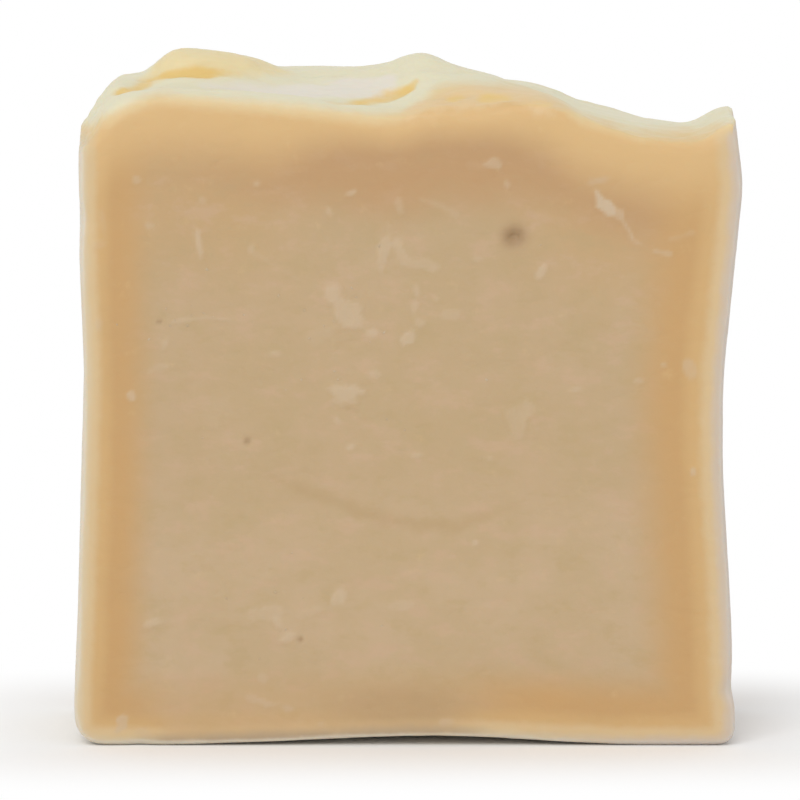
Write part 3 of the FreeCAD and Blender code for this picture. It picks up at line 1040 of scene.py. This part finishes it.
@dataclass
class BarSkin:
    """The bar's whole surface, drawn finely enough for what the cutter and the spoon left.

    Lengths and heights are in millimetres. Slopes are the share of a normal that looks through the bar.
    """

    merge_gap: float = 0.002
    point_spacing: float = 0.70
    fine_depth: float = 1.2
    fine_above: float = 68.0
    top_above: float = 66.0
    lip_rounding: int = 30
    lip_reach: float = 2.0
    lip_outside: float = 9.5
    lip_shares: tuple = (0.6, 0.15)
    lip_view: float = 0.1
    mark_grain: float = 1.5
    tear_grain: float = 1.9
    streak_grain: float = 2.4
    tear_depth: float = 0.05
    noise_seed: int = 11
    cut_slopes: tuple = (0.7, 0.97)
    top_slopes: tuple = (0.95, 0.75)
    pit_shade: float = 0.7
    hollow_depths: tuple = (0.03, 0.6)
    bubble_shade: float = 2.0
    shade_rounds: int = 40
    bubble_margin: float = 5.0
    face_sink: float = 0.14
    edge_widths: tuple = (("left", 1.0), ("right", 1.28), ("foot", 1.05))

    def fine_copy(self, node: Object) -> Object:
        """Copies the solid and draws it again as even squares, halved on the front and the top.

        Args:
            node: The bar's CAD node.

        Returns:
            A new object.
        """
        mesh = node.data.copy()
        shape = bmesh.new()
        shape.from_mesh(mesh)
        bmesh.ops.remove_doubles(shape, verts=shape.verts, dist=self.merge_gap * MM)
        shape.to_mesh(mesh)
        shape.free()
        holder = linked("fine_copy", mesh)
        remesh = holder.modifiers.new("squares", "REMESH")
        remesh.mode = "VOXEL"
        remesh.voxel_size = self.point_spacing * MM
        skin = baked(holder, "soap_skin")
        shape = bmesh.new()
        shape.from_mesh(skin.data)
        shape.normal_update()
        front = min(vertex.co.y for vertex in shape.verts) + self.fine_depth * MM
        top = self.fine_above * MM
        chosen = {v for v in shape.verts if v.co.y < front or (v.co.z > top and abs(v.normal.y) < 0.9)}
        edges = [edge for edge in shape.edges if edge.verts[0] in chosen and edge.verts[1] in chosen]
        bmesh.ops.subdivide_edges(shape, edges=edges, cuts=1, use_grid_fill=True)
        shape.to_mesh(skin.data)
        shape.free()
        return skin

    def triples(self, items: bpy.types.bpy_prop_collection, name: str) -> np.ndarray:
        """Reads three numbers from each of a mesh's items.

        Args:
            items: The mesh's points or its normals.
            name: What is read from each.

        Returns:
            The numbers, three a row.
        """
        flat = np.empty(len(items) * 3)
        items.foreach_get(name, flat)
        return flat.reshape(-1, 3)

    def face_relief(self, places: np.ndarray, face: CutFace, marks: Marks, noise: SoftNoise) -> dict:
        """Works out what the marks do on one cut face.

        Args:
            places: The skin's points.
            face: Which cut face.
            marks: What the cutter left on it.
            noise: What makes the marks' edges ragged.

        Returns:
            For each point how far it is raised in millimetres, how much smear it has, and how much painted shade it
            gets in folds and in pits.
        """
        flat = places[:, [0, 2]]
        plain = places * (1.0, 0.0, 1.0) + (0.0, 40.0 * face.value, 0.0)
        ragged = noise.layered(plain, self.mark_grain)
        torn = noise.layered(plain * (0.5, 1.0, 1.0) + 31.0, self.tear_grain)
        relief = {name: np.zeros(len(places)) for name in ("lift", "smear", "fold", "bubble")}
        for mark in marks.smears + marks.drags:
            cover = mark.cover(flat, ragged)
            relief["lift"] = np.maximum(relief["lift"], cover * mark.lift)
            relief["smear"] = np.maximum(relief["smear"], cover * mark.paleness)
        # Pressed-in folds, darkened with painted shade.
        for mark in marks.folds:
            cover = mark.cover(flat, ragged)
            relief["lift"] = relief["lift"] + cover * mark.lift
            relief["fold"] = np.maximum(relief["fold"], cover * mark.paleness)
        relief["lift"] = relief["lift"] - self.tear_depth * eased(np.abs(torn), 0.22, 0.0)
        # Pits, pressed in and darkened with painted shade.
        for across, up, radius, depth in marks.pits:
            bowl = np.exp(-((flat - (across, up)) ** 2).sum(axis=1) / radius**2)
            relief["lift"] = relief["lift"] - bowl * depth
            relief["bubble"] = np.maximum(relief["bubble"], bowl * self.pit_shade)
        return relief

    def dress(self, node: Object, material: Material) -> Object:
        """Makes the finished skin.

        Args:
            node: The bar's CAD node.
            material: The soap's material.

        Returns:
            The skin, a plain mesh.
        """
        skin = self.fine_copy(node)
        mesh = skin.data
        averager = Averager(mesh)
        places = self.triples(mesh.vertices, "co") / MM
        normals = self.triples(mesh.vertex_normals, "vector")
        low, high = places.min(axis=0), places.max(axis=0)
        inwards = Edging(places).inwards(places)
        noise = SoftNoise(self.noise_seed)
        cut = averager.smooth(eased(np.abs(normals[:, 1]), *self.cut_slopes), 3)
        stored = self.zones(places, normals, cut, inwards, averager)

        on_lip = (np.abs(inwards["lip"]) < self.lip_reach) & (np.abs(places[:, 1]) > self.lip_outside)
        share = np.where(places[:, 1] < 0, *self.lip_shares) * np.clip(averager.smooth(on_lip.astype(float), 8), 0, 1)
        places = averager.smooth(places, self.lip_rounding, share[:, None])

        ragged = noise.layered(places, self.streak_grain)
        for streak in TOP_STREAKS:
            cover = streak.cover(places, ragged)
            stored[streak.zone] = np.maximum(stored.get(streak.zone, 0.0), cover)
            places = places - normals * (streak.groove * cover * stored["open_top"])[:, None]

        for face, marks in ((CutFace.FRONT, FRONT_MARKS), (CutFace.BACK, BACK_MARKS)):
            on_face = cut * (places[:, 1] * face.value > 0)
            part = self.face_relief(places, face, marks, noise)
            for name, values in part.items():
                stored[name] = stored.get(name, 0.0) + values * on_face
        # Painted shade in the bubble's hollow on the front face, spread into a soft halo around it.
        well_inside = np.min(list(inwards.values()), axis=0) > self.bubble_margin
        hollow = eased(high[1] - np.abs(places[:, 1]), *self.hollow_depths) * well_inside * (places[:, 1] < 0)
        shaded_hollow = np.maximum(hollow, self.bubble_shade * averager.smooth(hollow, self.shade_rounds))
        stored["bubble"] = np.maximum(stored["bubble"], shaded_hollow)
        places[:, 1] -= np.sign(places[:, 1]) * cut * (self.face_sink - stored.pop("lift"))
        for *middle, radius, depth in CHIPS:
            gap = np.linalg.norm(places - middle, axis=1)
            places = places - normals * (depth * np.exp(-((gap / radius) ** 2)))[:, None]

        mesh.vertices.foreach_set("co", (np.clip(places, low, high) * MM).ravel())
        mesh.update()
        for name, values in stored.items():
            attribute = mesh.attributes.new(name, "FLOAT", "POINT")
            attribute.data.foreach_set("value", values.astype(np.float32))
        return grown(skin, worked_surface_tree(), "soap_skin", material)

    def zones(
        self, places: np.ndarray, normals: np.ndarray, cut: np.ndarray, inwards: dict, averager: Averager
    ) -> dict:
        """Works out the numbers that the material reads, apart from the marks.

        Args:
            places: The skin's points.
            normals: Their normals.
            cut: How far each lies on a cut face, from 0 to 1.
            inwards: How far in from each side they lie.
            averager: What smooths over the skin.

        Returns:
            One number for each point, by name.
        """
        x, y, z = places.T
        upper = (normals[:, 2] > 0.25) & (z > self.top_above)
        open_top = averager.smooth(upper * eased(np.abs(normals[:, 1]), *self.top_slopes), 14)
        below_lip = averager.smooth(inwards["lip"], 8)
        tilted = z + self.lip_view * (y - y.min()) - np.interp(x, *zip(*CREAM_LINE))
        above_line = np.where(y < 0, tilted, np.maximum(-inwards["lip"], np.where(open_top > 0.6, 0.3, -9.0)))
        # How far in from each side, for the painted amber glow near the edges and the pale rim.
        depths = {side: inwards[side] / width for side, width in self.edge_widths}
        side_depth = np.minimum(depths["left"], depths["right"])
        depth = np.minimum(side_depth, depths["foot"])
        # The painted amber glow is weaker along the foot, except towards its two ends.
        foot_share = eased(side_depth - depths["foot"], -1.0, 3.0)
        foot_strength = 0.30 + 0.70 * np.maximum(eased(x, 2.0, 16.0), eased(x, -26.0, -34.0))
        brown = eased(np.hypot((x + 1.0) / 10.0, (z - 4.6) / 3.4), 1.2, 0.3)
        on_floor = (z < z.min() + 0.6) & (normals[:, 2] < -0.9)
        return {
            "open_top": open_top,
            "moulded": np.clip(1 - cut - open_top, 0, 1),
            "below_lip": below_lip,
            "painted_glow_under_lip": below_lip * (1 + eased(np.abs(x - 2.0), 18.0, 5.0)),
            "above_line": averager.smooth(above_line, 6),
            "edge_depth": averager.smooth(depth, 5),
            "painted_glow_strength": 1 + foot_share * (foot_strength - 1),
            # Where the rosier, partly shaded tones of the right side show.
            "rosy_shaded_side": eased(x, 10.0, 34.0),
            "foot_brown": brown * 0.75,
            "still": averager.smooth(on_floor.astype(float), 3),
        }


def crumb_tree() -> NodeTree:
    """Builds the crumbs: one flat lump for each given point, sized and turned as the point says.

    Returns:
        A Geometry Nodes tree.
    """
    knobs = {"Geometry": None, "Unevenness": 0.00003, "Lump Scale": 1500.0, "Material": None}
    nodes = node_group("crumbs_on_points", "GeometryNodeTree", knobs, ("Geometry",))
    given = nodes.add("NodeGroupInput").outputs
    lump = nodes.add("GeometryNodeMeshIcoSphere", Radius=1.0, Subdivisions=2)
    turn = nodes.add("FunctionNodeEulerToRotation", Euler=nodes.carried("crumb_turn", "FLOAT_VECTOR"))
    placed = nodes.add(
        "GeometryNodeInstanceOnPoints",
        Points=given["Geometry"],
        Instance=lump.outputs["Mesh"],
        Rotation=turn.outputs[0],
        Scale=nodes.carried("crumb_size", "FLOAT_VECTOR"),
    )
    whole = nodes.add("GeometryNodeRealizeInstances", Geometry=placed.outputs[0])
    where = nodes.add("GeometryNodeInputPosition").outputs[0]
    cloud = nodes.add("ShaderNodeTexNoise", Vector=where, Scale=given["Lump Scale"], Detail=2.0)
    push = nodes.vector("SUBTRACT", cloud.outputs["Color"], (0.5, 0.5, 0.5))
    push = nodes.scaled(nodes.vector("MULTIPLY", push, (1.0, 0.1, 1.0)), given["Unevenness"])
    return nodes.hand_over(whole.outputs[0], push, given["Material"])


@dataclass
class Crumbs:
    """The tiny crumbs that cutting pressed onto the two cut faces, in millimetres.

    The bubble is kept free. A drift is its middle, across and up, and its spread both ways.
    """

    count: int = 40
    half_widths: tuple = (0.10, 0.22)
    height_shares: tuple = (0.5, 1.1)
    margins: tuple = (5.0, 4.0, 16.0)
    thickness: float = 0.05
    sunk: float = 0.02
    clearance: float = 0.12
    seed: int = 5
    bubble: tuple = (12.5, 58.9, 2.5)
    drifts: tuple = (
        (-22.5, 50.2, 6.0, 2.0),
        (1.0, 56.0, 7.0, 6.0),
        (-12.0, 14.5, 8.0, 2.5),
        (-6.0, 43.0, 6.0, 5.0),
        (0.0, 40.0, 24.0, 22.0),
    )

    def scattered(self, random: np.random.Generator, low: np.ndarray, high: np.ndarray) -> list:
        """Draws small crumbs in loose drifts.

        Args:
            random: The random source.
            low: The bar's lowest corner.
            high: The bar's highest corner.

        Returns:
            Across, up, half width, half height and turn of each crumb.
        """
        side, below, above = self.margins
        found = []
        while len(found) < self.count:
            middle_x, middle_z, spread_x, spread_z = self.drifts[random.integers(len(self.drifts))]
            x = random.normal(middle_x, spread_x)
            z = random.normal(middle_z, spread_z)
            size = random.uniform(*self.half_widths)
            in_bubble = math.hypot(x - self.bubble[0], z - self.bubble[1]) < self.bubble[2]
            if low[0] + side < x < high[0] - side and low[2] + below < z < high[2] - above and not in_bubble:
                found.append((x, z, size, size * random.uniform(*self.height_shares), random.uniform(-90, 90)))
        return found

    def dress(self, box: tuple, skin: Object, material: Material) -> Object:
        """Makes the crumbs.

        Args:
            box: The bar's lowest and highest corner, in metres.
            skin: The fine skin that the crumbs lie on.
            material: The crumbs' material.

        Returns:
            All the crumbs as one plain mesh.
        """
        bpy.context.view_layer.update()
        low, high = (np.array(corner) / MM for corner in box)
        random = np.random.default_rng(self.seed)
        places, sizes, turns = [], [], []
        for face in CutFace:
            for across, up, half_width, half_height, turn in self.scattered(random, low, high):
                start = (MM * across, 2.0 * MM * high[1] * face.value, MM * up)
                hit, place, _, _ = skin.ray_cast(start, (0.0, -face.value, 0.0))
                surface = abs(place[1]) / MM - self.sunk if hit else 0.0
                places.append((across, min(surface, high[1] - self.clearance) * face.value, up))
                sizes.append((half_width, self.thickness, half_height))
                turns.append((0.0, -math.radians(turn), 0.0))
        mesh = bpy.data.meshes.new("crumb_points")
        mesh.from_pydata([tuple(MM * part for part in place) for place in places], [], [])
        for name, values, scale in (("crumb_size", sizes, MM), ("crumb_turn", turns, 1.0)):
            attribute = mesh.attributes.new(name, "FLOAT_VECTOR", "POINT")
            attribute.data.foreach_set("vector", (np.array(values) * scale).ravel())
        return grown(linked("crumb_points", mesh), crumb_tree(), "cutting_crumbs", material)


@dataclass
class Studio:
    """A plain pale floor, soft light and the camera."""

    camera_place: tuple = (0.0, -0.89124, 0.16326)
    camera_aim: tuple = (0.0, 0.0, 0.038)
    lens: float = 346.4
    shift: tuple = (-0.0085, 0.0093)
    floor_reach: float = 3.0
    footprint: tuple = (0.0385, 0.0125)
    fill_strength: float = 0.74
    key_energy: float = 7.4
    key_size: float = 0.9
    key_place: tuple = (-0.45, -1.1, 1.05)
    key_aim: tuple = (0.0, 0.0, 0.04)
    floor_fade: float = 0.03
    white: tuple = (1.0, 1.0, 1.0, 1.0)

    def aimed(self, made: Object, place: tuple, target: tuple) -> None:
        """Puts the camera or the lamp at a place and turns it towards a target."""
        made.location = place
        made.rotation_euler = (Vector(target) - Vector(place)).to_track_quat("-Z", "Y").to_euler()

    def camera(self) -> None:
        """Sets up the camera, level and a little above the bar."""
        data = bpy.data.cameras.new("camera")
        data.lens = self.lens
        data.sensor_width = 36.0
        data.shift_x, data.shift_y = self.shift
        data.clip_start = 0.01
        camera = linked("camera", data)
        self.aimed(camera, self.camera_place, self.camera_aim)
        bpy.context.scene.camera = camera

    def seen_white(self, nodes: Nodes) -> NodeSocket:
        """Tells the rays that show the background as such from those that light the bar.

        Args:
            nodes: The tree's nodes.

        Returns:
            1 for the first, 0 for the others.
        """
        path = nodes.add("ShaderNodeLightPath").outputs
        seen = nodes.math("MAXIMUM", path["Is Camera Ray"], path["Is Glossy Ray"])
        return nodes.math("MAXIMUM", seen, path["Is Transmission Ray"])

    def blend(self, nodes: Nodes, share: object, base: bpy.types.Node, over: bpy.types.Node) -> NodeSocket:
        """Mixes two shaders.

        Args:
            nodes: The tree's nodes.
            share: How much of the second there is, from 0 to 1.
            base: The first shader.
            over: The second shader.

        Returns:
            The mixed shader.
        """
        both = nodes.add("ShaderNodeMixShader")
        for socket, source in zip(both.inputs, (share, base.outputs[0], over.outputs[0])):
            nodes.feed(socket, source)
        return both.outputs[0]

    def world(self) -> None:
        """Sets the even light from all around, and the white backdrop."""
        world = bpy.data.worlds.new("studio")
        nodes = cleared(world)
        fill = nodes.add("ShaderNodeBackground", Color=self.white, Strength=self.fill_strength)
        backdrop = nodes.add("ShaderNodeBackground", Color=self.white, Strength=1.0)
        nodes.add("ShaderNodeOutputWorld", Surface=self.blend(nodes, self.seen_white(nodes), fill, backdrop))
        bpy.context.scene.world = world

    def floor(self) -> None:
        """Lays the floor, pale under the bar and as white as the backdrop away from it."""
        mesh = bpy.data.meshes.new("floor")
        far = self.floor_reach
        mesh.from_pydata([(-far, -far, 0.0), (far, -far, 0.0), (far, far, 0.0), (-far, far, 0.0)], [], [(0, 1, 2, 3)])
        material = bpy.data.materials.new("pale_floor")
        nodes = cleared(material)
        where = nodes.add("ShaderNodeTexCoord").outputs["Object"]
        outside = nodes.vector("SUBTRACT", nodes.vector("ABSOLUTE", where), (*self.footprint, 0.0))
        outside = nodes.vector("MAXIMUM", outside, (0.0, 0.0, 0.0))
        distance = nodes.add("ShaderNodeVectorMath", {"operation": "LENGTH"}, Vector=outside).outputs["Value"]
        away = nodes.ease(distance, 0.0, self.floor_fade)
        share = nodes.times(away, self.seen_white(nodes))
        matt = nodes.add("ShaderNodeBsdfDiffuse", Color=(0.97, 0.97, 0.97, 1.0))
        glow = nodes.add("ShaderNodeEmission", Color=self.white, Strength=1.0)
        nodes.add("ShaderNodeOutputMaterial", Surface=self.blend(nodes, share, matt, glow))
        mesh.materials.append(material)
        linked("floor", mesh)

    def key(self) -> None:
        """Hangs one large soft lamp up in front, a little to the left."""
        data = bpy.data.lights.new("key", "AREA")
        data.shape = "SQUARE"
        data.size = self.key_size
        data.energy = self.key_energy
        self.aimed(linked("key", data), self.key_place, self.key_aim)

    def build(self) -> None:
        """Sets up the whole studio."""
        self.camera()
        self.world()
        self.floor()
        self.key()
        bpy.context.scene.view_settings.view_transform = "Standard"


def triangles(piece: Object) -> int:
    """Counts a piece's triangles."""
    return sum(len(polygon.vertices) - 2 for polygon in piece.data.polygons)


def main() -> None:
    """Builds the studio and the bar, hides the bar's CAD node and hangs each piece under the body."""
    logging.basicConfig(level=logging.INFO, format="%(name)s: %(message)s")
    Studio().build()
    grain = soap_grain_group()
    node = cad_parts[NODE]
    skin = BarSkin().dress(node, SoapFinish().material("cured_soap", grain))
    crumbs = Crumbs().dress(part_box(NODE), skin, CrumbFinish().material("soap_crumbs", grain))
    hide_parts(NODE)
    for piece in (skin, crumbs):
        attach(piece, BODY)
        log.info("%s has %d triangles", piece.name, triangles(piece))


if __name__ == "__main__":
    main()
